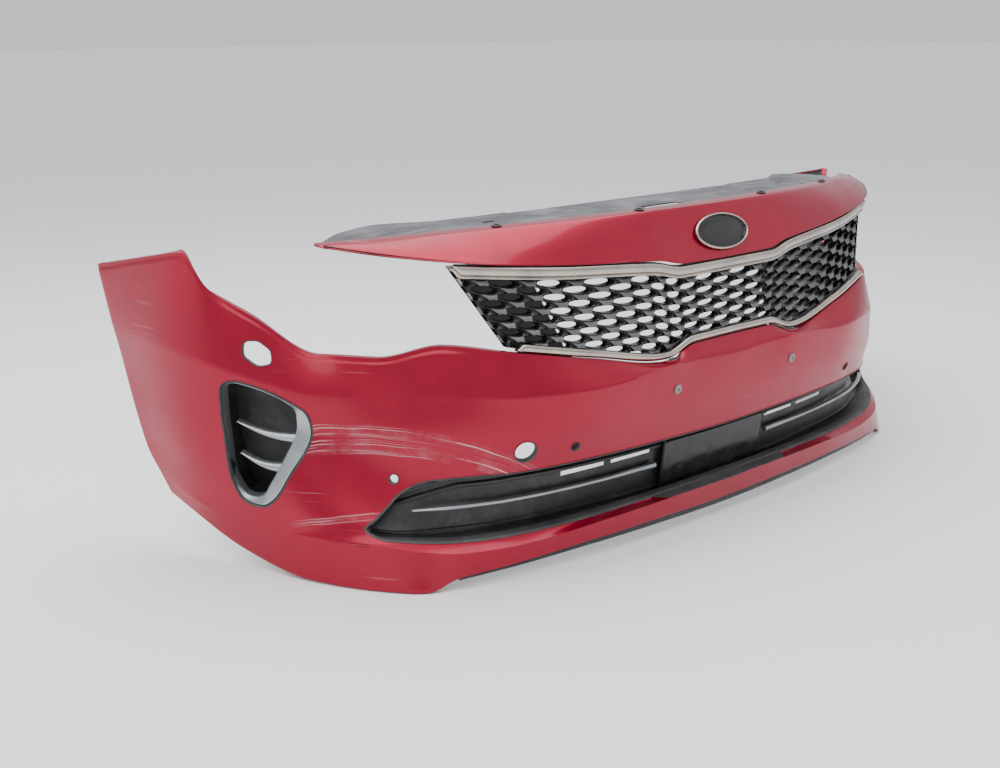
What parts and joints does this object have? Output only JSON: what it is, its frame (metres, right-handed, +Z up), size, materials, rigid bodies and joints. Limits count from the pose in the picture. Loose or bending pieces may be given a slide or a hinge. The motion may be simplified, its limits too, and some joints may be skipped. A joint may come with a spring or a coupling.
{
  "type": "front bumper cover",
  "caption": "Painted front bumper cover of a passenger car with grilles, bright trims, corner vents, lower intake and a sight shield held by push-pin retainers.",
  "frame": {"origin": "bottom centre of the whole part's box, on the surface that its two lower corners and its chin stand on", "axes": "+X to the right seen from in front of the car, -Y forwards out of the painted face, +Z up"},
  "size_m": [1.82, 0.6468, 0.5784],
  "materials": {
    "red_paint": "metallic red base coat under clear coat, on moulded plastic",
    "black_plastic": "semi-gloss moulded black",
    "shield_plastic": "weathered unpainted plastic",
    "grey_plastic": "satin grey moulded plastic",
    "chrome_trim": "bright plated plastic",
    "satin_silver": "satin silver plated plastic",
    "badge_face": "polished black face with nothing on it"
  },
  "bodies": {
    "cover": {"bumper_cover": "red_paint", "sight_shield": "shield_plastic", "grille_mesh": "black_plastic", "grille_trim_upper": "chrome_trim", "grille_trim_lower": "chrome_trim", "badge_base": "badge_face", "badge_ring": "chrome_trim", "lower_grille": "black_plastic", "blade_left": "satin_silver", "blade_right": "satin_silver", "centre_panel": "black_plastic", "lower_lip": "black_plastic", "vent_housing_left": "black_plastic", "vent_housing_right": "black_plastic", "vent_trim_left": "satin_silver", "vent_trim_right": "satin_silver", "sensor_inner_left": "black_plastic", "sensor_inner_right": "black_plastic", "sensor_outer_left": "black_plastic", "sensor_outer_right": "black_plastic", "plate_insert_left": "grey_plastic", "plate_insert_right": "grey_plastic", "retainer_body_1": "black_plastic", "retainer_body_2": "black_plastic", "retainer_body_3": "black_plastic", "retainer_body_4": "black_plastic"},
    "pin_1": {"retainer_pin_1": "black_plastic"},
    "pin_2": {"retainer_pin_2": "black_plastic"},
    "pin_3": {"retainer_pin_3": "black_plastic"},
    "pin_4": {"retainer_pin_4": "black_plastic"}
  },
  "joints": [
    {"name": "pin_1_pull", "type": "slide", "parent": "cover", "child": "pin_1", "axis": [0, 0, 1], "range_m": [0, 0.006]},
    {"name": "pin_2_pull", "type": "slide", "parent": "cover", "child": "pin_2", "axis": [0, 0, 1], "range_m": [0, 0.006]},
    {"name": "pin_3_pull", "type": "slide", "parent": "cover", "child": "pin_3", "axis": [0, 0, 1], "range_m": [0, 0.006]},
    {"name": "pin_4_pull", "type": "slide", "parent": "cover", "child": "pin_4", "axis": [0, 0, 1], "range_m": [0, 0.006]}
  ]
}
